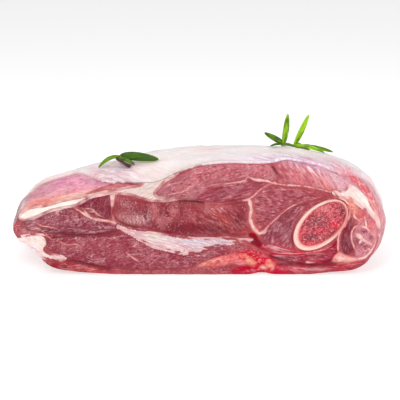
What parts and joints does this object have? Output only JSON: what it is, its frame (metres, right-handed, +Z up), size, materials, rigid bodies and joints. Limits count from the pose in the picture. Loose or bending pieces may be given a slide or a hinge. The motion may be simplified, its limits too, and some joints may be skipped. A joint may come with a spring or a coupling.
{
  "type": "raw lamb shoulder joint",
  "caption": "Raw bone-in half shoulder of lamb, cut across the arm bone, with a fat cover and rosemary leaves lying on top.",
  "frame": {"origin": "on the flat underside, below the middle of the joint's depth and between the two ends of the cut, at the mount named base", "axes": "+Z up, +X along the cut face to the end with the bone, -Y out of the cut face"},
  "size_m": [0.2419, 0.1462, 0.0951],
  "materials": {
    "lean": "moist raw muscle, satin to glossy",
    "fat": "smooth waxy raw fat, satin",
    "bone": "sawn bone, matte",
    "marrow": "crumbly red marrow, moist",
    "rosemary": "leathery needle leaves, satin"
  },
  "bodies": {
    "root": {"lean": "lean", "fat_cover": "fat", "seam_fat": "fat", "corner_fat": "fat", "edge_fat_left": "fat", "edge_fat_right": "fat", "lump_fat_left": "fat", "bone": "bone", "marrow": "marrow", "rosemary_pair": "rosemary", "rosemary_tip": "rosemary"}
  },
  "joints": []
}
